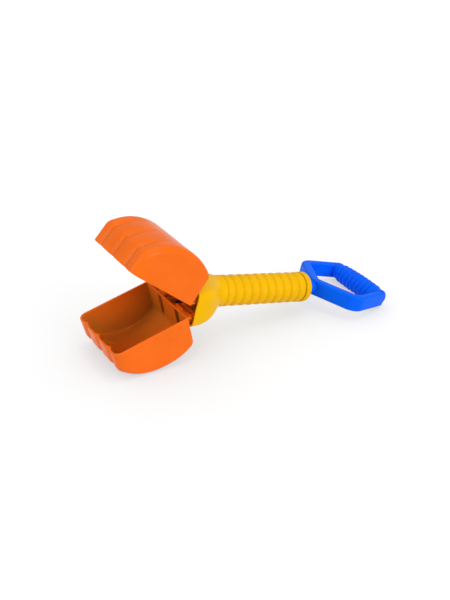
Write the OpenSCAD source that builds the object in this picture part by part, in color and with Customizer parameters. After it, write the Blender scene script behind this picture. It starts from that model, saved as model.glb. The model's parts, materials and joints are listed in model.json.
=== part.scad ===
// Sand grabber toy: two hinged scoops on a hollow ribbed arm, opened and closed by a sliding D-handle.
// Modelled at rest with the jaws open, standing on the lower scoop and on the grip.
// Sizes are worked out along the arm (x = 0 at the head's mouth, x towards the handle, z up)
// and the finished pieces are tilted onto the ground.

/* [Scoops] */
// Length of a scoop along its rim, from the lip to the back wall
scoop_l = 98.8; // [92:0.2:108]
// Width of a scoop across its rim
scoop_w = 101; // [95:0.2:106]
// Depth of a scoop at the top of its crown
scoop_d = 53.6; // [48:0.2:58]
// Distance from the lip to the deepest point of the crown
crown_peak = 56.6; // [52:0.2:62]
// Radius of the crown, seen from the side
crown_r = 71; // [66:1:90]
// Wall of a scoop
scoop_wall = 2.4; // [1.8:0.1:3]
// Lean of the front wall in degrees
front_rake = 2; // [1:0.5:8]
// Lean of the back wall in degrees
back_rake = 0.5; // [0.5:0.5:3]
// Lean of the side walls in degrees
side_draft = 1; // [0.5:0.5:3]
// Radius between the front wall and the crown
front_crown_r = 12; // [9:0.5:16]
// Radius between the back wall and the crown
back_crown_r = 8; // [7:0.5:14]
// Radius of the corners between the front wall and the sides at the lip
lip_corner_r = 6.4; // [4:0.2:8]
// Radius of those corners where the wall meets the crown
front_corner_r = 9.6; // [6:0.2:11]
// Radius of the edges between the crown and the sides
crown_edge_r = 8; // [5:0.5:10]
// Radius of the corners between the back wall and the sides
back_corner_r = 3; // [2.6:0.1:5]
// Distance between the finger grooves
finger_pitch = 29.5; // [26:0.5:30]
// Depth of the finger grooves
groove_depth = 1.9; // [1:0.1:3]
// Width of the finger grooves
groove_w = 8; // [5:0.5:10]
// Length over which the grooves fade out on the crown
groove_run = 46; // [25:1:55]
// Distance of the outer hollow rib of the back wall from the middle
pocket_outer_y = 23; // [20:0.5:26]
// Distance of the inner hollow rib from the middle, on the other side
pocket_inner_y = 17; // [15:0.5:19]
// Inner width of a hollow rib
pocket_w = 9; // [5:0.5:10]
// Inner height of a hollow rib
pocket_h = 32; // [22:0.5:33]
// How far a hollow rib stands out behind the back wall
pocket_out = 4; // [3:0.1:4.5]

/* [Hinges and drive] */
// Angle that each scoop opens by, in degrees
jaw_angle = 26.5; // [20:0.5:27]
// Gap between the two rims when the jaws are closed
jaw_gap = 0.3; // [0.2:0.1:1]
// Gap between a closed scoop and the head's mouth
mouth_gap = 5; // [4.6:0.1:6]
// Distance of the hinges behind the mouth
hinge_x = 8; // [7:0.1:9]
// Distance of the hinges from the arm's axis
hinge_z = 14; // [13:0.1:15]
// Diameter of the hinge pins
hinge_pin_d = 5; // [4:0.1:6]
// Diameter of the hubs that turn on the hinge pins
hub_d = 10; // [9:0.1:11]
// Gap between the levers and the barrels of the hinges
lever_clear = 2; // [1.5:0.1:4]
// Thickness of the hinge ears at the ends of the back wall
ear_t = 4.5; // [3:0.1:6]
// Length of the boss that carries the end of a hinge pin
boss_l = 3.7; // [3.4:0.1:4.4]
// Diameter of that boss
boss_d = 9.4; // [8:0.1:10]
// Travel of the handle
travel = 16; // [13:0.1:17]
// Distance of the drive pin behind the hinges when the jaws are open
drive_x = 18; // [17:0.1:20]
// Diameter of the drive pin
drive_pin_d = 4; // [3:0.1:4.6]
// Thickness of the lever with the cam slot
lever_t = 4.5; // [3:0.1:6]
// Width of the lever between its hub and the cam slot
lever_w = 8; // [7:0.1:9]
// Material left around the cam slot
cam_rim = 3; // [2:0.1:3.4]
// Diameter of the push rod
rod_d = 12; // [9:0.1:13]
// Thickness of the rod's flat tongue
tongue_t = 5; // [4:0.1:6]
// Height of the tongue
tongue_h = 10; // [8:0.1:11]
// Length of the tongue behind the drive pin
tongue_l = 12; // [11:0.1:13]

/* [Head and tube] */
// Width of the head's mouth
head_w = 97; // [92:0.2:100]
// Height of the head's mouth
head_h = 50; // [46:0.2:51]
// Wall of the head
head_wall = 2.2; // [1.6:0.1:2.6]
// Length of the flare from the mouth to the tube
flare_l = 56.5; // [52:0.5:57]
// Fullness of the flare behind the mouth
flare_full = 2.7; // [2:0.1:3]
// Sharpness of the flare's bend into the tube
flare_bend = 1.3; // [1.1:0.1:1.8]
// Squareness of the mouth, where 2 is an ellipse
mouth_square = 8; // [6:0.5:10]
// How far the mouth's upper and lower edges are cut back for the scoops
relief_l = 5.5; // [5:0.1:7]
// Width of that cut
relief_w = 72; // [66:0.5:74]
// Outer diameter of the tube
tube_d = 40; // [38:0.2:44]
// Wall of the tube under the grooves
tube_wall = 2.1; // [1.6:0.1:3]
// Length of the arm from the mouth to the end of the tube
arm_l = 203.8; // [190:0.2:220]
// Length of plain tube between the flare and the first groove
collar_l = 7.9; // [6.5:0.1:11]
// Number of ribs on the tube
rib_n = 10; // [6:1:10]
// Depth of the grooves of the tube
rib_depth = 1.4; // [0.8:0.1:2]
// Length of the end cap outside the tube
cap_l = 9.6; // [8:0.1:12]
// Rounding of the end cap's edge
cap_r = 4; // [2:0.5:6]
// Length of the end cap's spigot in the tube
spigot_l = 9; // [6:0.5:14]
// Thickness of the rod's guide in the tube
guide_t = 4; // [3:0.5:6]
// Diameter of the screws' shanks
screw_d = 3; // [2.6:0.1:3.4]
// Diameter of the screws' heads
screw_head_d = 5.8; // [5:0.1:6.4]
// Height of the screws' heads
screw_head_h = 2.2; // [1.6:0.1:2.6]
// Diameter of the screw bosses
screw_boss_d = 8; // [7:0.1:8.4]
// Distance of the rear pair of screws from the end cap
rear_screw_in = 25.4; // [18:0.2:40]

/* [Handle] */
// Height of the handle's frame
handle_h = 21.4; // [18:0.2:24]
// Width of the handle at its shoulders
handle_w = 127; // [114:0.2:130]
// Width of the handle at the grip
grip_w = 102; // [98:0.2:110]
// Length from the end of the tube to the point of the handle's base
neck_l = 13.8; // [12:0.1:20]
// Diameter of the neck
neck_d = 19; // [17:0.5:24]
// Length from that point to the shoulders
shoulder_x = 29.6; // [28:0.2:42]
// Length from that point to the grip's axis
grip_x = 87.6; // [80:0.2:96]
// How far the arms of the frame run past the grip's axis
arm_tail = 7; // [5:0.1:9]
// Wall of the frame
frame_t = 7.8; // [6:0.1:10]
// Rounding of the shoulders
shoulder_r = 13; // [9.5:0.5:18]
// Rounding of the frame's rear corners
tail_r = 6; // [4:0.5:8]
// Diameter of the grip over its middle rib
grip_d = 28.2; // [25:0.2:30]
// How much thinner the grip is at its ends, on the radius
grip_belly = 1; // [0:0.1:2]
// Number of ribs on the grip
grip_rib_n = 9; // [6:1:9]
// Depth of the grip's grooves
grip_groove = 1.1; // [0.5:0.1:1.6]
// Depth of the rod's seat in the handle
rod_seat = 13; // [10:0.5:14]

/* [Clearances] */
// Radial clearance of turning and sliding fits
fit = 0.1; // [0.05:0.01:0.1]
// Radial clearance of pieces that are fixed together
snug = 0.05; // [0.02:0.01:0.08]
// Gap between moving faces
side_gap = 0.3; // [0.2:0.05:0.5]
// Play at the ends of pins and screws
end_play = 0.1; // [0.05:0.05:0.2]

/* [Hidden] */
$fn = 96;
// How far cuts run past the faces that they open
over = 1;
// Flat land left at the bottom of the rounded grooves
groove_land = 0.1;
tube_r = tube_d / 2;
orange = "#fc7326";
yellow = "#f8be02";
blue = "#0062ff";
dark = "#2c2c2e";
steel = "#b0b4b8";

// Small helpers for points in the side view, given as [x, z]
function polar(a) = [cos(a), sin(a)];
function angle_of(v) = atan2(v.y, v.x);
function turned(p, c, a) = c + [(p - c) * [cos(a), sin(a)], (p - c) * [-sin(a), cos(a)]];
function ease(t) = let (u = min(1, max(0, t))) u * u * (3 - 2 * u);
function steps(n) = [for (i = [1:n]) i / n];

// Two triangles for each cell of a grid of points, n rows by m columns, starting at index k
function cell(k, m, i, j) = [k + i * m + j, k + (i + 1) * m + j, k + (i + 1) * m + j + 1, k + i * m + j + 1];
function split(q) = [[q[0], q[1], q[2]], [q[0], q[2], q[3]]];
function flipped(f) = [for (t = f) [t[0], t[2], t[1]]];
function grid_faces(k, n, m) = [for (i = [0:n - 2]) for (j = [0:m - 2]) each split(cell(k, m, i, j))];

// Side view of a closed upper scoop: front wall, crown and back wall, joined by arcs
rim_z = jaw_gap / 2;
lip = [-mouth_gap - scoop_l, rim_z];
heel = [-mouth_gap, rim_z];
crown_c = [lip.x + crown_peak, rim_z + scoop_d - crown_r];
front_n = polar(180 - front_rake);
back_n = polar(back_rake);

// Centre of an arc that touches a straight wall (point p, normal n, upward direction u) and the crown
function blend_c(p, n, u, r) =
    let (q = p - n * r, w = q - crown_c, b = w * u)
    q + u * (sqrt(b * b - w * w + pow(crown_r - r, 2)) - b);
front_c = blend_c(lip, front_n, [front_n.y, -front_n.x], front_crown_r);
back_c = blend_c(heel, back_n, [-back_n.y, back_n.x], back_crown_r);
front_a = angle_of(front_c - crown_c);
back_a = angle_of(back_c - crown_c);
front_top = front_c + front_n * front_crown_r;
back_top = back_c + back_n * back_crown_r;

// The side view as samples [x, z, angle of the normal, radius at the sides, strength of the grooves]
function arc_at(c, r, a) = c + r * polar(a);
function crown_run(a) = crown_r * (front_a - a) * PI / 180;
function crown_edge(t) = crown_edge_r + (back_corner_r - crown_edge_r) * ease(2 * t - 1);
side_view = concat(
    [for (t = [0, 0.3, 0.65, 1])
        let (p = lip + (front_top - lip) * t)
        [p.x, p.y, 180 - front_rake, lip_corner_r + (front_corner_r - lip_corner_r) * t, 1]],
    [for (t = steps(5))
        let (a = 180 - front_rake + (front_a - 180 + front_rake) * t, p = arc_at(front_c, front_crown_r, a))
        [p.x, p.y, a, front_corner_r + (crown_edge_r - front_corner_r) * t, 1]],
    [for (t = steps(9))
        let (a = front_a + (back_a - front_a) * t, p = arc_at(crown_c, crown_r, a))
        [p.x, p.y, a, crown_edge(t), 1 - ease(crown_run(a) / groove_run)]],
    [for (t = steps(4))
        let (a = back_a + (back_rake - back_a) * t, p = arc_at(back_c, back_crown_r, a))
        [p.x, p.y, a, back_corner_r, 0]],
    [for (t = steps(2))
        let (p = back_top + (heel - back_top) * t)
        [p.x, p.y, back_rake, back_corner_r, 0]]);

// Slices across a scoop as [y, 0], and round its sides as [side, angle]
groove_ys = [-finger_pitch, 0, finger_pitch];
crease = 1.5;
groove_offsets = [-0.5, -0.3, -0.12, 0, 0.12, 0.3, 0.5];
flat_edge = scoop_w / 2 - front_corner_r - over;
edge_angles = [20, 40, 60, 76, 90];
slices = concat(
    [for (i = [4:-1:0]) [-1, edge_angles[i]]],
    [[-flat_edge, 0]],
    [for (y = groove_ys) for (o = groove_offsets) [y + o * groove_w, 0]],
    [[flat_edge, 0]],
    [for (a = edge_angles) [1, a]]);

// Depth of the grooves at a slice, a crease between two flat fingers
function groove_dist(y) = min([for (g = groove_ys) abs(y - g)]);
function groove_at(y) = groove_depth * pow(max(0, 1 - 2 * groove_dist(y) / groove_w), crease);
function half_w(z) = scoop_w / 2 - tan(side_draft) * (z - rim_z);

// Point of a sample moved inwards by d, level along the rim
function moved_in(s, d) =
    let (n = polar(s[2]))
    s[1] == rim_z ? [s[0] - d / n.x, rim_z] : [s[0], s[1]] - n * d;

// Point of the scoop's skin at a sample and a slice, a wall's thickness inside the outer face
function skin(s, c, wall) =
    let (r = max(0.6, s[3] - wall),
         d = wall + (c[1] > 0 ? r * (1 - cos(c[1])) : groove_at(c[0]) * s[4]),
         p = moved_in(s, d))
    [p.x, c[1] > 0 ? c[0] * (half_w(p.y) - wall - r * (1 - sin(c[1]))) : c[0], p.y];

module scoop_shell() {
    n = len(side_view);
    m = len(slices);
    k = n * m;
    last = (n - 1) * m;
    outer = grid_faces(0, n, m);
    inner = grid_faces(k, n, m);
    side = [for (i = [1:n - 2]) [0, i * m, (i + 1) * m]];
    rim = concat(
        [for (j = [0:m - 2]) each split([j + 1, j, k + j, k + j + 1])],
        [for (j = [0:m - 2]) each split([last + j, last + j + 1, k + last + j + 1, k + last + j])],
        split([0, last, k + last, k]),
        split([last + m - 1, m - 1, k + m - 1, k + last + m - 1]));
    function at(f, o) = [for (t = f) t + [o, o, o]];
    polyhedron(
        points = [for (wall = [0, scoop_wall]) for (s = side_view) for (c = slices) skin(s, c, wall)],
        faces = concat(flipped(outer), inner, side, flipped(at(side, m - 1)),
                       flipped(at(side, k)), at(side, k + m - 1), rim),
        convexity = 8);
}

// Shape seen from the side (x, z), as a plate between two values of y
module side_plate(y1, y2) {
    translate([0, y2, 0]) rotate([90, 0, 0]) linear_extrude(y2 - y1) children();
}

// Straight bar of width w between two points of the side view
module side_bar(p, q, w) {
    n = [p.y - q.y, q.x - p.x] / norm(q - p) * w / 2;
    polygon([p + n, q + n, q - n, p - n]);
}

// Path of the drive pin over a scoop, from closed (t = 0) to open (t = 1), at a steady ratio
hinge = [hinge_x, hinge_z];
function drive_at(t) = [hinge_x + drive_x + travel * (1 - t), 0];
function cam_at(t) = turned(drive_at(t), hinge, -jaw_angle * t);
function cam_n(t) = let (d = cam_at(t + 0.01) - cam_at(t - 0.01)) [-d.y, d.x] / norm(d);
function cam_end(t, r) =
    let (n = cam_n(t), u = [n.y, -n.x])
    [for (a = [15:15:165]) cam_at(t) + r * (n * cos(a) + u * sin(a))];
cam_ts = [for (i = [0:12]) i / 12];
module cam_band(w) {
    polygon(concat([for (t = cam_ts) cam_at(t) + cam_n(t) * w / 2], cam_end(1, w / 2),
                   [for (t = cam_ts) cam_at(1 - t) - cam_n(1 - t) * w / 2], cam_end(0, -w / 2)));
}

// Where the hinge ears and levers grow out of the back wall
root_x = heel.x - scoop_wall / 2;
root_top = hinge_z;
module hinge_root() {
    polygon([[root_x, rim_z + side_gap], [hinge_x, hinge_z - hub_d / 2],
             [hinge_x, hinge_z + hub_d / 2], [root_x, root_top]]);
    translate(hinge) circle(d = hub_d);
}

cam_slot_w = drive_pin_d + 2 * side_gap;
cam_plate_w = cam_slot_w + 2 * cam_rim;
lever_y = tongue_t / 2 + side_gap;
module lever() {
    difference() {
        side_plate(-lever_y - lever_t, -lever_y) {
            hinge_root();
            side_bar(hinge, cam_at(1), lever_w);
            cam_band(cam_plate_w);
        }
        side_plate(-lever_y - lever_t - over, -lever_y + over) cam_band(cam_slot_w);
    }
}

// Barrels on webs run from the ears almost to the levers and close the gap behind the rim
module hinge_web() {
    translate(hinge) circle(d = hub_d);
    side_bar([root_x, rim_z + side_gap + scoop_wall / 2],
             [hinge_x, hinge_z - hub_d / 2 + scoop_wall / 2], scoop_wall);
}

// The hinge ears run beside the bosses of the head
boss_face = head_half_w(hinge_x + boss_d / 2) - head_wall - boss_l;
ear_y = boss_face - side_gap;
barrel_y = lever_y + lever_t + lever_clear;
module ears() {
    for (side = [0, 1]) mirror([0, side, 0]) {
        side_plate(-ear_y, -ear_y + ear_t) hinge_root();
        side_plate(-ear_y, -barrel_y) hinge_web();
    }
}

// Hollow rib of the back wall, seen from behind, with a round top
module pocket_outline(w, bottom, height) {
    translate([-w / 2, bottom]) square([w, height - w / 2]);
    translate([0, bottom + height - w / 2]) circle(d = w);
}

pocket_ys = [-pocket_inner_y, pocket_outer_y];
pocket_floor = rim_z + scoop_wall;
// The ribs' walls are a little thinner than the scoop's
rib_skin = scoop_wall - 0.4;
module back_rib(grow, x1, x2) {
    translate([x1, 0, 0]) rotate([90, 0, 90]) linear_extrude(x2 - x1)
        pocket_outline(pocket_w + 2 * grow, pocket_floor - grow, pocket_h + 2 * grow);
}

module scoop() {
    difference() {
        union() {
            scoop_shell();
            ears();
            lever();
            for (y = pocket_ys) translate([0, y, 0])
                back_rib(rib_skin, root_x, heel.x + pocket_out);
        }
        for (y = pocket_ys) translate([0, y, 0])
            back_rib(0, heel.x - 2 * scoop_wall, heel.x + pocket_out - rib_skin);
        translate([hinge_x, 0, hinge_z]) rotate([90, 0, 0])
            cylinder(d = hinge_pin_d + 2 * fit, h = 2 * head_w, center = true);
    }
}

module open_scoop() {
    translate([hinge_x, 0, hinge_z]) rotate([0, jaw_angle, 0]) translate([-hinge_x, 0, -hinge_z]) scoop();
}

// Resting tilt: the ground touches the crown of the lower scoop and the grip
grip_axis = [arm_l + neck_l + grip_x, 0];
low_crown = let (c = turned(crown_c, hinge, jaw_angle)) [c.x, -c.y];
span = grip_axis - low_crown;
tilt = angle_of(span) + asin((crown_r - grip_d / 2) / norm(span));
lift = crown_r + low_crown * [sin(tilt), -cos(tilt)];

// The origin lies on the ground under the middle of the whole toy
function front_x(p) = p * [cos(tilt), sin(tilt)];
jaw_points = [for (s = side_view) turned([s[0], s[1]], hinge, jaw_angle)];
x_front = min([for (p = jaw_points) for (side = [1, -1]) front_x([p.x, side * p.y])]);
x_back = front_x(grip_axis) + grip_d / 2;
module placed() {
    translate([-(x_front + x_back) / 2, 0, lift]) rotate([0, tilt, 0]) children();
}

// Head: a flare from a wide mouth to the round tube, as half rings from top to bottom
square_fade = 1.5;
function flare_t(x) = min(1, x / flare_l);
function flare(x) = pow(1 - pow(flare_t(x), flare_full), flare_bend);
function head_half_w(x) = tube_r + (head_w / 2 - tube_r) * flare(x);
function head_half_h(x) = tube_r + (head_h / 2 - tube_r) * flare(x);
function squareness(x) = 2 + (mouth_square - 2) * pow(1 - flare_t(x), square_fade);
function ring_point(x, a, wall) =
    let (e = 2 / squareness(x), s = abs(sin(a)), c = abs(cos(a)))
    [x, -(head_half_w(x) - wall) * pow(s, e), (a < 90 ? 1 : -1) * (head_half_h(x) - wall) * pow(c, e)];

ring_n = 24;
flare_end = 3;
stations = concat([for (t = [0, 0.08, 0.18, 0.28, 0.38, 0.48, 0.58, 0.68, 0.78, 0.88, 0.95, 1]) t * flare_l],
                  [flare_l + flare_end]);
// The end of the flare is sunk a little into the wall of the tube
flare_step = 0.15;
function sunk(x) = x < flare_l ? 0 : flare_step;

module head_half() {
    n = len(stations);
    m = ring_n + 1;
    k = n * m;
    last = (n - 1) * m;
    outer = grid_faces(0, n, m);
    inner = grid_faces(k, n, m);
    rim = concat(
        [for (j = [0:m - 2]) each split([j, j + 1, k + j + 1, k + j])],
        [for (j = [0:m - 2]) each split([last + j + 1, last + j, k + last + j, k + last + j + 1])],
        [for (i = [0:n - 2]) each split([(i + 1) * m, i * m, k + i * m, k + (i + 1) * m])],
        [for (i = [0:n - 2])
            each split([i * m + m - 1, (i + 1) * m + m - 1, k + (i + 1) * m + m - 1, k + i * m + m - 1])]);
    polyhedron(
        points = [for (wall = [0, head_wall]) for (x = stations) for (i = [0:ring_n])
                  ring_point(x, 180 * i / ring_n, wall + sunk(x))],
        faces = concat(outer, flipped(inner), rim),
        convexity = 6);
}

// Half of a revolved piece of the arm, from a profile drawn as [radius, x]
module half_turn() {
    rotate([0, 90, 0]) rotate([0, 0, -180]) rotate_extrude(angle = 180) children();
}

// Wavy profile: ribs of the given pitch and depth on a solid core, under a radius for each rib
module ribs(radii, x1, pitch, depth) {
    arc_r = (pow(pitch / 2, 2) + depth * depth) / (2 * depth);
    for (i = [0:len(radii) - 1]) intersection() {
        translate([radii[i] - arc_r, x1 + (i + 0.5) * pitch]) circle(r = arc_r);
        translate([radii[i] - depth - over, x1 + i * pitch]) square([depth + 2 * over, pitch]);
    }
}

first_groove = flare_l + collar_l;
tube_end = arm_l - cap_l;
rib_pitch = (tube_end - first_groove) / rib_n;
bore_r = tube_r - rib_depth - tube_wall;
guide_gap = 2;
guide_x = first_groove - guide_t - guide_gap;
module tube_half() {
    half_turn() {
        translate([bore_r, flare_l]) square([tube_r - bore_r, first_groove - flare_l]);
        translate([bore_r, first_groove]) square([tube_wall + groove_land, rib_n * rib_pitch]);
        ribs([for (i = [1:rib_n]) tube_r], first_groove, rib_pitch, rib_depth);
        translate([rod_d / 2 + fit, guide_x]) square([bore_r + over - rod_d / 2 - fit, guide_t]);
    }
}

// Screws across the arm, in front of the guide and near the end of the tube
boss_r = screw_boss_d / 2;
screw_z = bore_r - boss_r;
// The front bosses run into the guide
screw_xs = [guide_x - boss_r + over, tube_end - rear_screw_in];
// Distance of the screws' seats and of their tips from the split, and the material under a tip
screw_seat = 7;
screw_tip = 8;
boss_floor = 2;
module at_screws() {
    for (x = screw_xs) for (z = [-screw_z, screw_z]) translate([x, 0, z]) rotate([90, 0, 0]) children();
}

module hinge_bosses() {
    for (z = [-hinge_z, hinge_z]) translate([hinge_x, -boss_face, z]) rotate([90, 0, 0])
        cylinder(d = boss_d, h = pin_end - boss_face + end_play);
}

// Blind holes for the hinge pins leave a thin skin outside
pin_skin = 0.9;
pin_end = head_half_w(hinge_x + boss_d / 2) - pin_skin;
module hinge_holes() {
    for (z = [-hinge_z, hinge_z]) translate([hinge_x, 0, z]) rotate([90, 0, 0])
        cylinder(d = hinge_pin_d + 2 * snug, h = pin_end);
}

module mouth_relief() {
    for (z = [0, 1]) mirror([0, 0, z])
        translate([-over, -relief_w / 2, head_h / 4]) cube([relief_l + over, relief_w, head_h]);
}

// Near half of the arm without its screw holes
module arm_half() {
    difference() {
        union() {
            head_half();
            tube_half();
            hinge_bosses();
            at_screws() cylinder(d = screw_boss_d, h = screw_tip + boss_floor);
        }
        hinge_holes();
        mouth_relief();
        translate([flare_l - over, 0, 0]) rotate([0, 90, 0]) cylinder(d = rod_d + 2 * fit, h = arm_l);
    }
}

module end_cap() {
    color(yellow) placed() rotate([0, 90, 0]) rotate_extrude() {
        inner = rod_d / 2 + fit;
        translate([inner, tube_end]) square([tube_r - inner, arm_l - tube_end - cap_r]);
        translate([inner, tube_end]) square([tube_r - cap_r - inner, arm_l - tube_end]);
        translate([tube_r - cap_r, arm_l - cap_r]) intersection() {
            circle(r = cap_r);
            square(cap_r);
        }
        translate([inner, tube_end - spigot_l]) square([bore_r - snug - inner, spigot_l]);
    }
}

module arm_shell_near() {
    color(yellow) placed() difference() {
        arm_half();
        at_screws() cylinder(d = screw_d + 2 * snug, h = screw_tip + end_play);
    }
}

module arm_shell_far() {
    color(yellow) placed() difference() {
        mirror([0, 1, 0]) arm_half();
        at_screws() mirror([0, 0, 1]) {
            cylinder(d = screw_d + 2 * snug, h = tube_d);
            translate([0, 0, screw_seat]) cylinder(d = screw_head_d + 2 * snug, h = tube_d);
        }
    }
}

module shell_screws() {
    color(steel) placed() at_screws() {
        translate([0, 0, -screw_seat]) cylinder(d = screw_d, h = screw_seat + screw_tip);
        translate([0, 0, -screw_seat - screw_head_h]) cylinder(d = screw_head_d, h = screw_head_h);
    }
}

module hinge_pin(side) {
    color(dark) placed() translate([hinge_x, 0, side * hinge_z]) rotate([90, 0, 0])
        cylinder(d = hinge_pin_d, h = 2 * (pin_end - end_play), center = true);
}

module upper_hinge_pin() {
    hinge_pin(1);
}

module lower_hinge_pin() {
    hinge_pin(-1);
}

// Rod and drive pin at rest, with the handle pushed in
pin_x = drive_at(1).x;
rod_end = arm_l + side_gap + rod_seat;
module push_rod() {
    color(blue) placed() difference() {
        union() {
            translate([pin_x + tongue_l, 0, 0]) rotate([0, 90, 0])
                cylinder(d = rod_d, h = rod_end - pin_x - tongue_l);
            translate([pin_x, -tongue_t / 2, -tongue_h / 2]) cube([tongue_l + over, tongue_t, tongue_h]);
            translate([pin_x, 0, 0]) rotate([90, 0, 0])
                cylinder(d = tongue_h, h = tongue_t, center = true);
        }
        translate([pin_x, 0, 0]) rotate([90, 0, 0])
            cylinder(d = drive_pin_d + 2 * snug, h = rod_d, center = true);
        translate([rod_end - screw_grip, 0, 0]) rotate([0, 90, 0])
            cylinder(d = screw_d + 2 * snug, h = screw_grip + over);
    }
}

// The drive pin stands out of the levers a little
pin_proud = 0.5;
module drive_pin() {
    color(dark) placed() translate([pin_x, 0, 0]) rotate([90, 0, 0])
        cylinder(d = drive_pin_d, h = 2 * (lever_y + lever_t + pin_proud), center = true);
}

module upper_scoop() {
    color(orange) placed() open_scoop();
}

module lower_scoop() {
    color(orange) placed() rotate([180, 0, 0]) open_scoop();
}

// Outline with round corners, from corner points in order (counter-clockwise) and a radius for each
function edge_n(p, q) = [q.y - p.y, p.x - q.x] / norm(q - p);
function around(pts, i, o) = pts[(i + o + len(pts)) % len(pts)];
function set_in(pts, i, d) =
    let (n1 = edge_n(around(pts, i, -1), pts[i]), n2 = edge_n(pts[i], around(pts, i, 1)))
    pts[i] - d * (n1 + n2) / (1 + n1 * n2);
module round_outline(pts, radii) {
    n = len(pts);
    centres = [for (i = [0:n - 1]) set_in(pts, i, radii[i])];
    polygon([for (i = [0:n - 1])
             each [centres[i] + radii[i] * edge_n(around(pts, i, -1), pts[i]),
                   centres[i] + radii[i] * edge_n(pts[i], around(pts, i, 1))]]);
    for (i = [0:n - 1]) translate(centres[i]) circle(r = radii[i]);
}

// Plan of the handle's frame, with its rear open between the arms
apex_x = arm_l + neck_l;
tail_w = grip_w / 2 - arm_tail * (handle_w - grip_w) / 2 / (grip_x - shoulder_x);
frame_pts = [[apex_x, 0], [apex_x + shoulder_x, -handle_w / 2], [apex_x + grip_x + arm_tail, -tail_w],
             [apex_x + grip_x + arm_tail, tail_w], [apex_x + shoulder_x, handle_w / 2]];
frame_radii = [tail_r, shoulder_r, tail_r, tail_r, shoulder_r];
hole_pts = [for (i = [0:4]) set_in(frame_pts, i, frame_t)];
hole_radii = [tail_r, shoulder_r - frame_t, over, over, shoulder_r - frame_t];
function run_on(p, q) = q + (q - p) / 2;
module frame_plan() {
    difference() {
        round_outline(frame_pts, frame_radii);
        round_outline([hole_pts[0], hole_pts[1], run_on(hole_pts[1], hole_pts[2]),
                       run_on(hole_pts[4], hole_pts[3]), hole_pts[4]], hole_radii);
    }
}

// Ribbed grip between the arms of the frame
grip_pitch = (grip_w - 2 * frame_t) / grip_rib_n;
module grip() {
    core_l = grip_w - frame_t;
    middle = (grip_rib_n - 1) / 2;
    radii = [for (i = [0:grip_rib_n - 1]) grip_d / 2 - grip_belly * pow((i - middle) / middle, 2)];
    translate([grip_axis.x, 0, 0]) rotate([-90, 0, 0]) rotate_extrude() {
        translate([0, -core_l / 2]) square([min(radii) - grip_groove + groove_land, core_l]);
        ribs(radii, -grip_rib_n * grip_pitch / 2, grip_pitch, grip_groove);
    }
}

// The handle screw sits in the base of the loop and holds the rod
screw_grip = 8;
base_back = hole_pts[0].x;
handle_screw_seat = base_back - frame_t / 2;
module d_handle() {
    color(blue) placed() difference() {
        union() {
            translate([0, 0, -handle_h / 2]) linear_extrude(handle_h) frame_plan();
            grip();
            translate([arm_l + side_gap, 0, 0]) rotate([0, 90, 0])
                cylinder(d = neck_d, h = neck_l + frame_t / 2);
        }
        translate([arm_l, 0, 0]) rotate([0, 90, 0]) cylinder(d = rod_d + 2 * snug, h = rod_end - arm_l);
        translate([rod_end - over, 0, 0]) rotate([0, 90, 0])
            cylinder(d = screw_d + 2 * snug, h = handle_screw_seat - rod_end + 2 * over);
        translate([handle_screw_seat, 0, 0]) rotate([0, 90, 0])
            cylinder(d = screw_head_d + 2 * snug, h = grip_x / 2);
    }
}

module handle_screw() {
    color(steel) placed() rotate([0, 90, 0]) {
        tip = rod_end - screw_grip + end_play;
        translate([0, 0, tip]) cylinder(d = screw_d, h = handle_screw_seat + screw_head_h / 2 - tip);
        translate([0, 0, handle_screw_seat]) cylinder(d = screw_head_d, h = screw_head_h);
    }
}

upper_scoop();
lower_scoop();
arm_shell_near();
arm_shell_far();
end_cap();
upper_hinge_pin();
lower_hinge_pin();
push_rod();
drive_pin();
d_handle();
shell_screws();
handle_screw();
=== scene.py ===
import json
import math

import bmesh
import bpy
import numpy as np
from mathutils import Matrix, Vector
from mathutils.geometry import tessellate_polygon


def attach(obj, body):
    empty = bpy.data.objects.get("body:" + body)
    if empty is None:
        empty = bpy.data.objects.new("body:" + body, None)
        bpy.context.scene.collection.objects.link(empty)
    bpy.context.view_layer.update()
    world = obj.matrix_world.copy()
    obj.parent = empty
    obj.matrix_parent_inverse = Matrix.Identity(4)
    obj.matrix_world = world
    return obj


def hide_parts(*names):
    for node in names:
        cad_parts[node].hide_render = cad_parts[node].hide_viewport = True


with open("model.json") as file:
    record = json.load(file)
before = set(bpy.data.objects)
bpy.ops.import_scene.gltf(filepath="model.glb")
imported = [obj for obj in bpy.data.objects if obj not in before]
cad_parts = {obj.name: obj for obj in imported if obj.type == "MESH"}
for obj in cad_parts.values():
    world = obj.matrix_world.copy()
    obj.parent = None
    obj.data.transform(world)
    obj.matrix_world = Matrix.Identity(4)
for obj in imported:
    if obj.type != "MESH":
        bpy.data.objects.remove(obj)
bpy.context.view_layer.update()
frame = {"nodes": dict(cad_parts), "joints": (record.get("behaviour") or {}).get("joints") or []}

MM = 0.001

# Meshes: points nearer than WELD become one, edges shorter than SHORT_EDGE go, edges that turn by more than
# SHARP_ANGLE stay sharp, and a cut reaches CUT_OVER past a face
WELD = 1e-3
SHORT_EDGE = 1e-4
SHARP_ANGLE = 32
CUT_OVER = 1.0
# Scales that mirror a mesh across the arm, and turn it over
ACROSS = (1, -1, 1)
TURNED_OVER = (1, -1, -1)

# Numbers of points and steps along curves
LATHE_SIDES = 96
CAP_SIDES = 128
DISC_SIDES = 48
RIM_STEPS = 4
FRONT_POINTS = 13
CROWN_POINTS = 41
BACK_POINTS = 9
EDGE_POINTS = 9
CAM_POINTS = 17
HALF_TURN_POINTS = 25
QUARTER_POINTS = 29
PLAIN_POINTS = 6
RIB_STEPS = 14
GUIDE_POINTS = 45
GUIDE_BORE_POINTS = 33
CAP_POINTS = 13
SEAM_POINTS = 7
FRAME_POINTS = 7
DOME_POINTS = 9
# Degrees between points
EDGE_STEP = 10
CAM_END_STEP = 12
OUTLINE_STEP = 6

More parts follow.
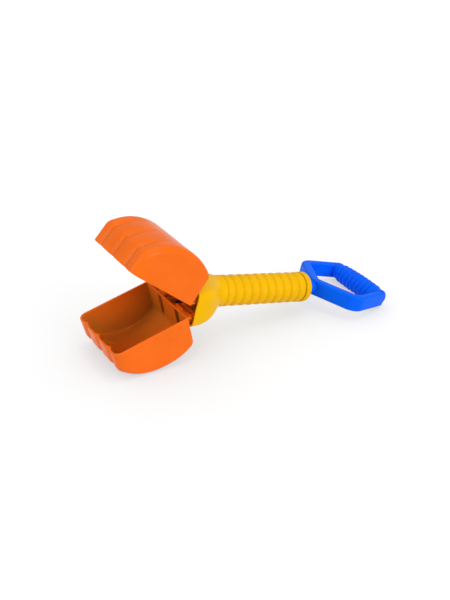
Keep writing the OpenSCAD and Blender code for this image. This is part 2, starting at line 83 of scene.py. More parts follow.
# Scoops
SCOOP_L = 98.8
SCOOP_W = 101.0
SCOOP_D = 53.6
CROWN_PEAK = 56.6
CROWN_R = 71.0
SCOOP_WALL = 2.4
FRONT_RAKE = 2.0
BACK_RAKE = 0.5
SIDE_DRAFT = 1.0
FRONT_CROWN_R = 12.0
BACK_CROWN_R = 8.0
LIP_CORNER_R = 10.0
FRONT_CORNER_R = 9.6
CROWN_EDGE_R = 8.0
BACK_CORNER_R = 3.0
MIN_CORNER_R = 0.6
FINGER_PITCH = 29.5
# Grooves between the four fingers, counted from the middle
GROOVES = (-1, 0, 1)
GROOVE_DEPTH = 2.6
GROOVE_W = 15.0
GROOVE_RUN = 46.0
# Exponent of the grooves' section: the higher, the sharper the crease
CREASE = 1.7
RIM_ROUND = 0.8
POCKET_YS = (-17.0, 23.0)
POCKET_W = 9.0
POCKET_H = 32.0
POCKET_OUT = 4.0
RIB_SKIN = 2.0

# Hinges and drive
JAW_ANGLE = 26.5
RIM_Z = 0.15
MOUTH_GAP = 5.0
HINGE_X = 8.0
HINGE_Z = 14.0
HINGE_BORE = 5.2
HUB_D = 10.0
EAR_T = 4.5
BARREL_Y = 9.3
# Keeps barrels and webs off the faces of the ears
BARREL_IN = 0.06
# The webs end this far before the hinge's axis, and the flanges before the head's mouth
WEB_SHORT = 1.0
FLANGE_GAP = 0.6
BOSS_D = 9.4
BOSS_FACE = 41.94
BOSS_END = 47.0
TRAVEL = 16.0
DRIVE_X = 18.0
# Part of the travel over which the direction of the drive pin's path is taken
CAM_NUDGE = 0.01
CAM_SLOT_W = 4.6
CAM_RIM = 3.0
LEVER_T = 4.5
LEVER_W = 8.0
LEVER_Y = 2.8
SIDE_GAP = 0.3

# Head, tube and end cap
HEAD_W = 97.0
HEAD_H = 50.0
HEAD_WALL = 2.2
FLARE_L = 56.5
# Exponents of the flare's curve along the arm
FLARE_FULL = 2.7
FLARE_BEND = 1.3
# Exponent of the mouth's outline, an ellipse at 2, and how fast it fades towards the tube
MOUTH_SQUARE = 8.0
SQUARE_FADE = 1.5
RELIEF_L = 5.5
RELIEF_W = 72.0
# Degrees from a relief's end to the points beside it, and the even and the crowded share of a ring's points
RELIEF_STEP = 0.15
EVEN_SHARE = 0.45
CROWDED_SHARE = 0.55
TUBE_R = 20.0
TUBE_WALL = 1.5
ARM_L = 203.8
FIRST_GROOVE = 64.4
RIB_N = 10
RIB_PITCH = 12.98
RIB_DEPTH = 2.0
CAP_R = 4.0
SPIGOT_L = 9.0
SPIGOT_GAP = 0.05
GUIDE_T = 4.0
GUIDE_X = 58.4
# Degrees by which the rod's guide stops short of the split
GUIDE_STOP = 2
ROD_BORE = 12.2
MOUTH_ROUND = 0.7
SPLIT_ROUND = 0.25
CAP_SEAM = 0.45

# Screws
SCREW_XS = (55.4, 168.8)
SCREW_Z = 12.5
SCREW_BOSS_D = 8.0
SCREW_BOSS_L = 10.0
SCREW_SEAT = 7.0
SCREW_TIP = 8.0
SCREW_D = 3.0
SCREW_HEAD_D = 5.8
SCREW_HEAD_H = 2.2
SCREW_RECESS = 5.9
# Radii of the point and of the thread's root as shares of the shank's
POINT_SHARE = 0.3
ROOT_SHARE = 0.78
# First and last thread from the tip and from the seat, and places along one thread from its start
FIRST_THREAD = 1.2
LAST_THREAD = 1.4
THREAD_PITCH = 1.1
THREAD_RISE = 0.35
THREAD_CREST = 0.45
THREAD_FALL = 0.8
SHANK_L = 0.6
# The dome starts a hair inside the head's side
DOME_H = 1.0
DOME_SHARE = 0.999
DOME_TIP_R = 0.001
# Half the length and half the width of a bar of the cross, and its depth
CROSS_L = 1.7
CROSS_W = 0.35
CROSS_DEPTH = 1.1

# Handle
HANDLE_H = 21.4
HANDLE_W = 129.5
GRIP_W = 102.0
NECK_L = 10.8
NECK_D = 19.0
NECK_EDGE = 0.5
SHOULDER_X = 31.1
GRIP_X = 90.6
ARM_TAIL = 7.0
FRONT_T = 13.5
FRAME_T = 10.0
SHOULDER_R = 20.0
TAIL_R = 6.0
TAIL_INNER_R = 0.5
MIN_FRAME_R = 0.05
FRAME_ROUND = 3.2
GRIP_R = 14.1
GRIP_BELLY = 1.0
GRIP_RIB_N = 9
GRIP_PITCH = 8.1
GRIP_GROOVE = 1.5
GRIP_END_R = 11.4
GROOVE_LAND = 0.1
HANDLE_SCREW_TIP = 209.2
HANDLE_SCREW_SEAT = 222.3
HANDLE_RECESS_OVER = 5.0

# Sizes that follow
TUBE_END = FIRST_GROOVE + RIB_N * RIB_PITCH
BORE_R = TUBE_R - RIB_DEPTH - TUBE_WALL
APEX_X = ARM_L + NECK_L
GRIP_AXIS_X = APEX_X + GRIP_X
HINGE = np.array([HINGE_X, HINGE_Z])
# Depths of the roots of ears, webs and hollow ribs in a scoop's back wall, unequal to keep faces apart
EAR_ROOT = SCOOP_WALL / 2
WEB_ROOT = SCOOP_WALL / 3
RIB_ROOT = SCOOP_WALL * 2 / 3
# Shares of the flare's length at its rings, closer at the mouth for the rounded edge
FLARE_SHARES = np.concatenate([[0, 0.03], np.linspace(0.07, 1, 40)])[:-1]


def arm_placement():
    """Matrix from mm along the arm to the frame, from the slide's axis and the two hinges."""
    joints = {j["name"]: j for j in frame["joints"]}
    axis = Vector(joints["handle_slide"]["axis"])
    turn = Matrix.Rotation(math.atan2(-axis.z, axis.x), 4, "Y")
    upper = Vector(joints["upper_jaw_hinge"]["pos_m"])
    lower = Vector(joints["lower_jaw_hinge"]["pos_m"])
    between_hinges = turn @ Vector((HINGE_X * MM, 0, 0))
    return Matrix.Translation((upper + lower) / 2 - between_hinges) @ turn @ Matrix.Scale(MM, 4)


ARM = arm_placement()


# Meshes


def mesh_of(name, grids, closed_loops):
    """Mesh from grids of points; in closed loops the last column joins the first. Equal points merge."""
    verts, faces = [], []
    wrapped = [np.concatenate([g, g[:, :1]], axis=1) for g in closed_loops]
    for grid in list(grids) + wrapped:
        start, (rows, cols) = len(verts), grid.shape[:2]
        verts.extend(grid.reshape(-1, 3).tolist())
        for i in range(rows - 1):
            for j in range(cols - 1):
                k = start + i * cols + j
                faces.append((k, k + 1, k + cols + 1, k + cols))
    mesh = bpy.data.meshes.new(name)
    mesh.from_pydata(verts, [], faces)
    bm = bmesh.new()
    bm.from_mesh(mesh)
    bmesh.ops.remove_doubles(bm, verts=bm.verts, dist=WELD)
    bmesh.ops.dissolve_degenerate(bm, edges=bm.edges, dist=SHORT_EDGE)
    bmesh.ops.recalc_face_normals(bm, faces=bm.faces)
    bm.to_mesh(mesh)
    bm.free()
    return mesh


def rounded_rim(outer, inner, inward):
    """Rows of points that lead round an edge from the outer loop to the inner one."""
    across = inner - outer
    across /= np.linalg.norm(across, axis=1, keepdims=True)
    radius = np.linalg.norm(inward, axis=1, keepdims=True)
    turns = np.linspace(0, math.pi / 2, RIM_STEPS + 1)
    down = [outer + across * radius * (1 - math.cos(a)) + inward * (1 - math.sin(a)) for a in turns]
    up = [inner - across * radius * (1 - math.cos(a)) + inward * (1 - math.sin(a)) for a in turns]
    return np.array(down + up[::-1])


def lathe(name, profile, axis, centre=(0, 0, 0), sides=LATHE_SIDES):
    """Closed solid of revolution from (radius, place along the axis) points."""
    turns = np.linspace(0, 2 * math.pi, sides, endpoint=False)
    points = {"x": lambda r, t, a: (t, r * math.cos(a), r * math.sin(a)),
              "y": lambda r, t, a: (r * math.cos(a), t, r * math.sin(a))}[axis]
    rows = np.array([[points(r, t, a) for a in turns] for r, t in profile]) + np.array(centre)
    return mesh_of(name, [], [rows])


def prism(name, outline, low, high, along):
    """Solid from an outline in the two other axes, drawn out between two places along one axis."""
    order = {"x": (2, 0, 1), "y": (0, 2, 1)}[along]
    bm = bmesh.new()

    def ring(place):
        made = []
        for p in outline:
            flat = (p[0], p[1], place)
            made.append(bm.verts.new([flat[order[i]] for i in range(3)]))
        return made

    first, last = ring(low), ring(high)
    bm.faces.new(first)
    bm.faces.new(last[::-1])
    for i in range(len(outline)):
        j = (i + 1) % len(outline)
        bm.faces.new((first[j], first[i], last[i], last[j]))
    bmesh.ops.recalc_face_normals(bm, faces=bm.faces)
    mesh = bpy.data.meshes.new(name)
    bm.to_mesh(mesh)
    bm.free()
    return mesh


def disc(centre, radius):
    """Outline of a circle."""
    turns = np.linspace(0, 2 * math.pi, DISC_SIDES, endpoint=False)
    return [(centre[0] + radius * math.cos(a), centre[1] + radius * math.sin(a)) for a in turns]


def joined(name, meshes):
    """One mesh with the shells of several."""
    bm = bmesh.new()
    for mesh in meshes:
        bm.from_mesh(mesh)
    made = bpy.data.meshes.new(name)
    bm.to_mesh(made)
    bm.free()
    return made


def combined(mesh, others, operation):
    """The mesh after a boolean operation with each of the others."""
    base = bpy.data.objects.new(mesh.name, mesh)
    bpy.context.scene.collection.objects.link(base)
    tools = []
    for other in others:
        tool = bpy.data.objects.new(other.name, other)
        bpy.context.scene.collection.objects.link(tool)
        step = base.modifiers.new(operation, "BOOLEAN")
        step.operation, step.solver, step.object = operation, "EXACT", tool
        tools.append(tool)
    bpy.context.view_layer.update()
    shown = base.evaluated_get(bpy.context.evaluated_depsgraph_get())
    made = bpy.data.meshes.new_from_object(shown)
    for o in tools + [base]:
        bpy.data.objects.remove(o)
    return made


def mirrored(mesh, scale):
    """Copy of a mesh, mirrored where the scale is -1."""
    made = mesh.copy()
    made.transform(Matrix.Diagonal((*scale, 1)))
    if np.prod(scale) < 0:
        made.flip_normals()
    return made


def piece(name, mesh, body, nodes, material):
    """Object for a mesh in mm along the arm, riding on a body in place of CAD nodes."""
    mesh.transform(ARM)
    bm = bmesh.new()
    bm.from_mesh(mesh)
    for f in bm.faces:
        f.smooth = True
        f.material_index = 0
    for e in bm.edges:
        e.smooth = len(e.link_faces) == 2 and e.calc_face_angle(0) < math.radians(SHARP_ANGLE)
    bm.to_mesh(mesh)
    bm.free()
    mesh.materials.clear()
    mesh.materials.append(material)
    obj = bpy.data.objects.new(name, mesh)
    bpy.context.scene.collection.objects.link(obj)
    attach(obj, body)
    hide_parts(*nodes)


# Scoops


def polar(degrees):
    """Unit vector at an angle."""
    return np.array([math.cos(math.radians(degrees)), math.sin(math.radians(degrees))])


def ease(t):
    """Smooth step from 0 to 1."""
    u = min(1.0, max(0.0, t))
    return u * u * (3 - 2 * u)


LIP = np.array([-MOUTH_GAP - SCOOP_L, RIM_Z])
HEEL = np.array([-MOUTH_GAP, RIM_Z])
CROWN_C = np.array([LIP[0] + CROWN_PEAK, RIM_Z + SCOOP_D - CROWN_R])
FRONT_N = polar(180 - FRONT_RAKE)
BACK_N = polar(BACK_RAKE)
# Levels of the points up the walls, with a short first step for the rounded rim
LEVELS = np.array([0, 0.07, 0.16, 0.28, 0.42, 0.56, 0.7, 0.84, 1.0])


def blend_centre(p, n, u, r):
    """Centre of an arc that touches a wall (point p, normal n, direction u) and the crown."""
    q = p - n * r
    w = q - CROWN_C
    b = w @ u
    return q + u * (math.sqrt(b * b - w @ w + (CROWN_R - r) ** 2) - b)


def side_view():
    """Samples of a closed scoop's side view: point, angle of the normal, side radius, groove strength."""
    front_c = blend_centre(LIP, FRONT_N, np.array([FRONT_N[1], -FRONT_N[0]]), FRONT_CROWN_R)
    back_c = blend_centre(HEEL, BACK_N, np.array([-BACK_N[1], BACK_N[0]]), BACK_CROWN_R)
    front_a = math.degrees(math.atan2(*(front_c - CROWN_C)[::-1]))
    back_a = math.degrees(math.atan2(*(back_c - CROWN_C)[::-1]))
    front_top = front_c + FRONT_N * FRONT_CROWN_R
    back_top = back_c + BACK_N * BACK_CROWN_R
    made = []
    for t in LEVELS:
        radius = LIP_CORNER_R + (FRONT_CORNER_R - LIP_CORNER_R) * t
        made.append((LIP + (front_top - LIP) * t, 180 - FRONT_RAKE, radius, 1.0))
    for t in np.linspace(0, 1, FRONT_POINTS)[1:]:
        a = 180 - FRONT_RAKE + (front_a - 180 + FRONT_RAKE) * t
        made.append((front_c + FRONT_CROWN_R * polar(a), a, FRONT_CORNER_R, 1.0))
    for t in np.linspace(0, 1, CROWN_POINTS)[1:]:
        a = front_a + (back_a - front_a) * t
        # The radius changes over the first quarter of the crown, and again over its second half
        radius = FRONT_CORNER_R + (CROWN_EDGE_R - FRONT_CORNER_R) * ease(4 * t)
        radius += (BACK_CORNER_R - CROWN_EDGE_R) * ease(2 * t - 1)
        fade = 1 - ease(CROWN_R * math.radians(front_a - a) / GROOVE_RUN)
        made.append((CROWN_C + CROWN_R * polar(a), a, radius, fade))
    for t in np.linspace(0, 1, BACK_POINTS)[1:]:
        a = back_a + (BACK_RAKE - back_a) * t
        made.append((back_c + BACK_CROWN_R * polar(a), a, BACK_CORNER_R, 0.0))
    for t in LEVELS[::-1][1:]:
        made.append((HEEL + (back_top - HEEL) * t, BACK_RAKE, BACK_CORNER_R, 0.0))
    return made


def across_scoop():
    """Places across a scoop: (side, angle) round its edges and (y, 0) between them."""
    angles = np.linspace(EDGE_STEP, 90, EDGE_POINTS)
    shares = np.array([0.02, 0.05, 0.1, 0.17, 0.25, 0.33, 0.42, 0.5])
    flat_edge = SCOOP_W / 2 - FRONT_CORNER_R
    ys = [-flat_edge, -FINGER_PITCH / 2, FINGER_PITCH / 2, flat_edge]
    for groove in GROOVES:
        ys.extend(groove * FINGER_PITCH + GROOVE_W * np.concatenate([-shares, [0], shares]))
    return [(-1, a) for a in angles[::-1]] + [(y, 0) for y in sorted(ys)] + [(1, a) for a in angles]


def groove_at(y):
    """Depth of the finger grooves, a crease between two rounded fingers."""
    off = min(abs(y - g * FINGER_PITCH) for g in GROOVES)
    return GROOVE_DEPTH * max(0.0, 1 - 2 * off / GROOVE_W) ** CREASE


def half_width(z):
    """Half of a scoop's width at a height, with the draft of its sides."""
    return SCOOP_W / 2 - math.tan(math.radians(SIDE_DRAFT)) * (z - RIM_Z)


def skin_point(sample, place, wall):
    """Point of the scoop's skin, a wall's thickness inside the outer face."""
    p, angle, radius, groove = sample
    r = max(MIN_CORNER_R, radius - wall)
    side, turn = place
    n = polar(angle)
    corner = math.radians(turn)
    y = side * (half_width(p[1]) - wall - r * (1 - math.sin(corner))) if turn else side
    d = wall + r * (1 - math.cos(corner)) + groove_at(y) * groove * math.cos(corner)
    # A point of the rim moves in along the rim, and others along the normal
    x, z = (p[0] - d / n[0], RIM_Z) if p[1] == RIM_Z else p - n * d
    if turn:
        y = side * (half_width(z) - wall - r * (1 - math.sin(corner)))
    return x, y, z


def side_wall(skin, column, side, wall):
    """Grid of points up a side wall, from the rim to the skin's edge."""
    k = len(LEVELS) - 1
    tops = skin[k:len(skin) - k, column]
    feet = np.array([(x, side * (SCOOP_W / 2 - wall), RIM_Z) for x in tops[:, 0]])
    made = feet + LEVELS[:, None, None] * (tops - feet)
    made[:, 0] = skin[:k + 1, column]
    made[:, -1] = skin[::-1][:k + 1, column]
    return made


def scoop_shell():
    """Closed upper scoop: outer and inner skin joined by a rounded rim."""
    samples, places = side_view(), across_scoop()
    grids, loops = [], []
    for wall in (0, SCOOP_WALL):
        skin = np.array([[skin_point(s, c, wall) for c in places] for s in samples])
        near = side_wall(skin, 0, -1, wall)
        far = side_wall(skin, -1, 1, wall)
        loops.append(np.concatenate([skin[0], far[0, 1:], skin[-1, ::-1][1:], near[0, ::-1][1:-1]]))
        grids.extend([skin, near, far])
    inward = np.zeros_like(loops[0])
    inward[:, 2] = RIM_ROUND
    for grid in grids:
        grid[grid[:, :, 2] == RIM_Z, 2] = RIM_Z + RIM_ROUND
    return mesh_of("scoop_shell", grids, [rounded_rim(loops[0], loops[1], inward)])


def turned(p, degrees):
    """Point of the side view turned about the hinge."""
    c, s = polar(degrees)
    d = p - HINGE
    return HINGE + np.array([d[0] * c + d[1] * s, -d[0] * s + d[1] * c])


def cam_at(t):
    """Place of the drive pin over the scoop, from closed (0) to open (1)."""
    return turned(np.array([HINGE_X + DRIVE_X + TRAVEL * (1 - t), 0.0]), -JAW_ANGLE * t)


def cam_outline(width):
    """Band with round ends along the drive pin's path."""
    ts = np.linspace(0, 1, CAM_POINTS)

    def normal(t):
        d = cam_at(t + CAM_NUDGE) - cam_at(t - CAM_NUDGE)
        return np.array([-d[1], d[0]]) / np.linalg.norm(d)

    def end(t, r):
        n = normal(t)
        u = np.array([n[1], -n[0]])
        angles = range(CAM_END_STEP, 180, CAM_END_STEP)
        return [cam_at(t) + r * (n * polar(a)[0] + u * polar(a)[1]) for a in angles]

    there = [cam_at(t) + normal(t) * width / 2 for t in ts]
    back = [cam_at(t) - normal(t) * width / 2 for t in ts[::-1]]
    return there + end(1, width / 2) + back + end(0, -width / 2)


def hinge_root():
    """Side view of an ear and of a lever's start: a root in the back wall that leads to a round hub."""
    root_x = HEEL[0] - EAR_ROOT
    hub = [HINGE + HUB_D / 2 * polar(a) for a in np.linspace(-90, 90, HALF_TURN_POINTS)]
    return [(root_x, HINGE_Z), (root_x, RIM_Z + SIDE_GAP)] + hub


def hinge_web(end_x):
    """Side view of the web that slopes from the back wall to a hinge barrel, as far as a place along it."""
    low, high = RIM_Z + SIDE_GAP + BARREL_IN, HINGE_Z - HUB_D / 2 + BARREL_IN
    root_x, barrel_x = HEEL[0] - WEB_ROOT, HINGE_X - WEB_SHORT
    end = low + (high - low) * (end_x - root_x) / (barrel_x - root_x)
    return [(root_x, low), (end_x, end), (end_x, end + SCOOP_WALL), (root_x, low + SCOOP_WALL)]


def hinge_side():
    """Hinge on the near side: an ear, a barrel on a web that ends near the lever, and an outer flange."""
    ear_y = BOSS_FACE - SIDE_GAP
    ear = prism("ear", hinge_root(), -ear_y, -ear_y + EAR_T, "y")
    inside_ear = -ear_y + EAR_T / 2
    barrel = prism("barrel", disc(HINGE, HUB_D / 2 - BARREL_IN), inside_ear, -BARREL_Y, "y")
    web = prism("web", hinge_web(HINGE_X - WEB_SHORT), inside_ear, -BARREL_Y, "y")
    flange = prism("flange", hinge_web(-FLANGE_GAP), -SCOOP_W / 2 + BACK_CORNER_R, inside_ear, "y")
    return combined(ear, [barrel, web, flange], "UNION")


def lever_bar():
    """Side view of the straight part of a lever, from its hub to the cam slot."""
    end = cam_at(1)
    along = (end - HINGE) / np.linalg.norm(end - HINGE)
    off = np.array([-along[1], along[0]]) * LEVER_W / 2
    return [HINGE + off, HINGE - off, end - off, end + off]


def pocket_outline(grow):
    """Back view (y, z) of a hollow rib of the back wall, with a round top."""
    half = POCKET_W / 2 + grow
    low = RIM_Z + SCOOP_WALL - grow
    top = low + POCKET_H + 2 * grow - half
    arch = [(half * polar(a)[0], top + half * polar(a)[1]) for a in np.linspace(0, 180, HALF_TURN_POINTS)]
    return [(-half, low), (half, low)] + arch


def shifted(outline, y):
    """Outline moved along its first axis."""
    return [(p[0] + y, p[1]) for p in outline]


def scoop_mesh():
    """Closed upper scoop with its hinges, lever, cam slot, hollow ribs and hinge bore."""
    rib_x = HEEL[0] - RIB_ROOT
    levers = (-LEVER_Y - LEVER_T, -LEVER_Y)
    near = hinge_side()
    hinges = [near, mirrored(near, ACROSS)]
    lever = prism("lever", hinge_root(), *levers, "y")
    lever = combined(lever, [prism("bar", lever_bar(), *levers, "y"),
                             prism("cam", cam_outline(CAM_SLOT_W + 2 * CAM_RIM), *levers, "y")], "UNION")
    ribs, cuts = [], []
    for y in POCKET_YS:
        ribs.append(prism("rib", shifted(pocket_outline(RIB_SKIN), y), rib_x, HEEL[0] + POCKET_OUT, "x"))
        inside = shifted(pocket_outline(0), y)
        cuts.append(prism("pocket", inside, HEEL[0] - 2 * SCOOP_WALL, HEEL[0] + POCKET_OUT - RIB_SKIN, "x"))
    cuts.append(prism("bore", disc(HINGE, HINGE_BORE / 2), -HEAD_W, HEAD_W, "y"))
    cuts.append(prism("slot", cam_outline(CAM_SLOT_W), levers[0] - CUT_OVER, levers[1] + CUT_OVER, "y"))
    solid = combined(scoop_shell(), hinges + [lever] + ribs, "UNION")
    return combined(solid, [joined("cuts", cuts)], "DIFFERENCE")


def opened(mesh):
    """Copy of a closed upper scoop turned open about its hinge."""
    made = mesh.copy()
    hinge = Matrix.Translation((HINGE_X, 0, HINGE_Z))
    made.transform(hinge @ Matrix.Rotation(math.radians(JAW_ANGLE), 4, "Y") @ hinge.inverted())
    return made


# Arm


def flare(x):
    """How much of the mouth's extra size is left at a place along the arm, from 1 to 0."""
    return (1 - min(1.0, x / FLARE_L) ** FLARE_FULL) ** FLARE_BEND


def rib_radius(x, start, pitch, radius, depth):
    """Radius of a row of rounded ribs at a place along them."""
    arc = ((pitch / 2) ** 2 + depth ** 2) / (2 * depth)
    off = (x - start) % pitch - pitch / 2
    return max(radius - depth + GROOVE_LAND, radius - arc + math.sqrt(arc * arc - off * off))


def arm_point(x, degrees, wall):
    """Point of the near half of the arm; with a wall it lies on the inner face."""
    s, c = abs(math.sin(math.radians(degrees))), abs(math.cos(math.radians(degrees)))
    if x < FLARE_L:
        half_w = TUBE_R + (HEAD_W / 2 - TUBE_R) * flare(x) - wall
        half_h = TUBE_R + (HEAD_H / 2 - TUBE_R) * flare(x) - wall
        e = 2 / (2 + (MOUTH_SQUARE - 2) * (1 - x / FLARE_L) ** SQUARE_FADE)
    else:
        ribbed = FIRST_GROOVE < x < TUBE_END
        outer = rib_radius(x, FIRST_GROOVE, RIB_PITCH, TUBE_R, RIB_DEPTH) if ribbed else TUBE_R
        half_w = half_h = BORE_R if wall else outer
        e = 1
    return x, -half_w * s ** e, math.copysign(half_h * c ** e, 90 - degrees)


def ring_angles():
    """Angles of the points round half the arm, closer at the ends of its quarters, and the relief's angle."""
    u = np.linspace(0, 1, QUARTER_POINTS)
    quarter = 90 * (EVEN_SHARE * u + CROWDED_SHARE * u * u * (3 - 2 * u))
    relief = math.degrees(math.asin((RELIEF_W / HEAD_W) ** (MOUTH_SQUARE / 2)))
    quarter = np.sort(np.concatenate([quarter, [relief - RELIEF_STEP, relief + RELIEF_STEP]]))
    return np.concatenate([quarter, 180 - quarter[::-1][1:]]), relief


def tube_stations():
    """Places along the tube, close together on the ribs."""
    plain = np.linspace(FLARE_L, FIRST_GROOVE, PLAIN_POINTS)
    ribbed = FIRST_GROOVE + RIB_PITCH * np.linspace(0, RIB_N, RIB_N * RIB_STEPS + 1)[1:]
    return np.concatenate([plain, ribbed])


def arm_shell():
    """Near half of the arm: outer and inner skin joined by rounded edges."""
    angles, relief = ring_angles()
    starts = [RELIEF_L if min(a, 180 - a) < relief else 0.0 for a in angles]
    skins = []
    for wall in (0, HEAD_WALL):
        rows = []
        for t in FLARE_SHARES:
            rows.append([arm_point(x0 + (FLARE_L - x0) * t, a, wall) for a, x0 in zip(angles, starts)])
        rows += [[arm_point(x, a, wall) for a in angles] for x in tube_stations()]
        skins.append(np.array(rows))
    inward = np.zeros_like(skins[0])
    inward[0, :, 0] += MOUTH_ROUND
    inward[-1, :, 0] -= CAP_SEAM
    inward[:, 0, 1] -= SPLIT_ROUND
    inward[:, -1, 1] -= SPLIT_ROUND

    def loop(grid):
        return np.concatenate([grid[0], grid[1:, -1], grid[-1, ::-1][1:], grid[::-1, 0][1:-1]])

    loops = [loop(skin) for skin in skins]
    band = rounded_rim(loops[0], loops[1], loop(inward))
    return mesh_of("arm_shell", [skin + inward for skin in skins], [band])


SCREW_PLACES = [(x, z) for x in SCREW_XS for z in (-SCREW_Z, SCREW_Z)]


def screw_bosses():
    """Bosses for the four screws in the near half of the arm."""
    return [prism("boss", disc(p, SCREW_BOSS_D / 2), -SCREW_BOSS_L, -SPLIT_ROUND, "y") for p in SCREW_PLACES]


def arm_insides():
    """Hinge bosses and rod guide inside the near half of the arm."""
    made = []
    for z in (-HINGE_Z, HINGE_Z):
        made.append(prism("boss", disc((HINGE_X, z), BOSS_D / 2), -BOSS_END, -BOSS_FACE, "y"))
    there = np.linspace(GUIDE_STOP, 180 - GUIDE_STOP, GUIDE_POINTS)
    back = np.linspace(180 - GUIDE_STOP, GUIDE_STOP, GUIDE_BORE_POINTS)
    wide = [(-BORE_R * polar(a)[1], BORE_R * polar(a)[0]) for a in there]
    bore = [(-ROD_BORE / 2 * polar(a)[1], ROD_BORE / 2 * polar(a)[0]) for a in back]
    made.append(prism("guide", wide + bore, GUIDE_X, GUIDE_X + GUIDE_T, "x"))
    return made


def end_cap_mesh():
    """Cap with a spigot in the tube, a rounded edge and a fine seam towards the tube."""
    inner, spigot_r = ROD_BORE / 2, BORE_R - SPIGOT_GAP
    edge = [(TUBE_R - CAP_R + CAP_R * polar(a)[0], ARM_L - CAP_R + CAP_R * polar(a)[1])
            for a in np.linspace(0, 90, CAP_POINTS)]
    seam = [(TUBE_R - CAP_SEAM + CAP_SEAM * polar(a)[0], TUBE_END + CAP_SEAM + CAP_SEAM * polar(a)[1])
            for a in np.linspace(-90, 0, SEAM_POINTS)]
    spigot = [(inner, TUBE_END - SPIGOT_L), (spigot_r, TUBE_END - SPIGOT_L), (spigot_r, TUBE_END)]
    outline = spigot + seam + edge + [(inner, ARM_L)]
    return lathe("end_cap", outline + outline[:1], "x", sides=CAP_SIDES)


# Handle


def rounded_outline(corners, radii):
    """Outline through corner points with an arc of the given radius at each."""
    made, n = [], len(corners)
    for i in range(n):
        p = np.array(corners[i], float)
        to_last = np.array(corners[i - 1]) - p
        to_next = np.array(corners[(i + 1) % n]) - p
        to_last /= np.linalg.norm(to_last)
        to_next /= np.linalg.norm(to_next)
        half = math.acos(np.clip(to_last @ to_next, -1, 1)) / 2
        middle = (to_last + to_next) / np.linalg.norm(to_last + to_next)
        centre = p + middle * radii[i] / math.sin(half)
        start = p + to_last * radii[i] / math.tan(half) - centre
        sweep = math.pi - 2 * half
        if to_last[0] * to_next[1] - to_last[1] * to_next[0] > 0:
            sweep = -sweep
        count = max(2, int(abs(math.degrees(sweep)) / OUTLINE_STEP) + 1)
        for a in np.linspace(0, sweep, count):
            c, s = math.cos(a), math.sin(a)
            made.append(centre + np.array([start[0] * c - start[1] * s, start[0] * s + start[1] * c]))
    return made


def set_in(corners, i, before, after):
    """Corner moved inwards from the edges before and after it in a counter-clockwise outline."""
    def normal(p, q):
        v = np.array([q[1] - p[1], p[0] - q[0]])
        return v / np.linalg.norm(v)

    p = np.array(corners[i])
    n1 = normal(corners[i - 1], p)
    n2 = normal(p, corners[(i + 1) % len(corners)])
    return p - np.linalg.solve(np.array([n1, n2]), np.array([before, after]))


# Place of the loop's front corner in the list of the frame's corners
APEX_IN = 5


def frame_corners():
    """Corners of the handle's frame in plan, open at the rear between the arms, and their radii."""
    tail_w = GRIP_W / 2 - ARM_TAIL * (HANDLE_W - GRIP_W) / 2 / (GRIP_X - SHOULDER_X)
    tail_x = GRIP_AXIS_X + ARM_TAIL
    shoulder = APEX_X + SHOULDER_X
    outer = [(APEX_X, 0), (shoulder, -HANDLE_W / 2), (tail_x, -tail_w),
             (tail_x, tail_w), (shoulder, HANDLE_W / 2)]
    apex_in = set_in(outer, 0, FRONT_T, FRONT_T)
    near_in = set_in(outer, 1, FRONT_T, FRAME_T)
    far_in = set_in(outer, 4, FRAME_T, FRONT_T)
    lean = (np.array(outer[2]) - np.array(outer[1])) / (tail_x - shoulder)
    near_end = near_in + lean * (tail_x - near_in[0])
    far_end = near_end * np.array([1, -1])
    corners = [outer[0], outer[1], outer[2], near_end, near_in,
               apex_in, far_in, far_end, outer[3], outer[4]]
    inner_r = FRAME_T - SHOULDER_R
    radii = [TAIL_R, SHOULDER_R, TAIL_R, TAIL_INNER_R, inner_r,
             -TAIL_R, inner_r, TAIL_INNER_R, TAIL_R, SHOULDER_R]
    return corners, radii


def frame_ring(inset, z):
    """Points round the frame's outline, moved in by an inset. A hollow corner has a negative radius."""
    corners, radii = frame_corners()
    moved = [set_in(corners, i, inset, inset) for i in range(len(corners))]
    outline = rounded_outline(moved, [inset - r if r < 0 else max(MIN_FRAME_R, r - inset) for r in radii])
    return [(x, y, z) for x, y in outline]


def capped(mesh, loops):
    """The mesh closed by triangles over flat loops of its points."""
    bm = bmesh.new()
    bm.from_mesh(mesh)
    for loop in loops:
        corners = [bm.verts.new(p) for p in loop]
        for triangle in tessellate_polygon([[Vector(p) for p in loop]]):
            bm.faces.new([corners[i] for i in triangle])
    bmesh.ops.remove_doubles(bm, verts=bm.verts, dist=WELD)
    bmesh.ops.recalc_face_normals(bm, faces=bm.faces)
    bm.to_mesh(mesh)
    bm.free()
    return mesh


def frame_mesh():
    """Frame of the handle with rounded upper and lower edges."""
    turns = np.linspace(0, math.pi / 2, FRAME_POINTS)
    steps = [(FRAME_ROUND * (1 - math.cos(a)), HANDLE_H / 2 - FRAME_ROUND * (1 - math.sin(a))) for a in turns]
    rows = [frame_ring(inset, -z) for inset, z in steps[::-1]] + [frame_ring(inset, z) for inset, z in steps]
    return capped(mesh_of("frame", [], [np.array(rows)]), (rows[0], rows[-1]))


def grip_mesh():
    """Ribbed grip between the arms of the frame."""
    half = (GRIP_W - FRAME_T) / 2
    ribbed = GRIP_RIB_N * GRIP_PITCH / 2
    profile = [(0, -half), (GRIP_END_R, -half)]
    for y in np.linspace(-ribbed, ribbed, GRIP_RIB_N * RIB_STEPS + 1):
        radius = GRIP_R - GRIP_BELLY * (y / (ribbed - GRIP_PITCH / 2)) ** 2
        profile.append((rib_radius(y, -ribbed, GRIP_PITCH, radius, GRIP_GROOVE), y))
    profile += [(GRIP_END_R, half), (0, half)]
    return lathe("grip", profile, "y", (GRIP_AXIS_X, 0, 0))


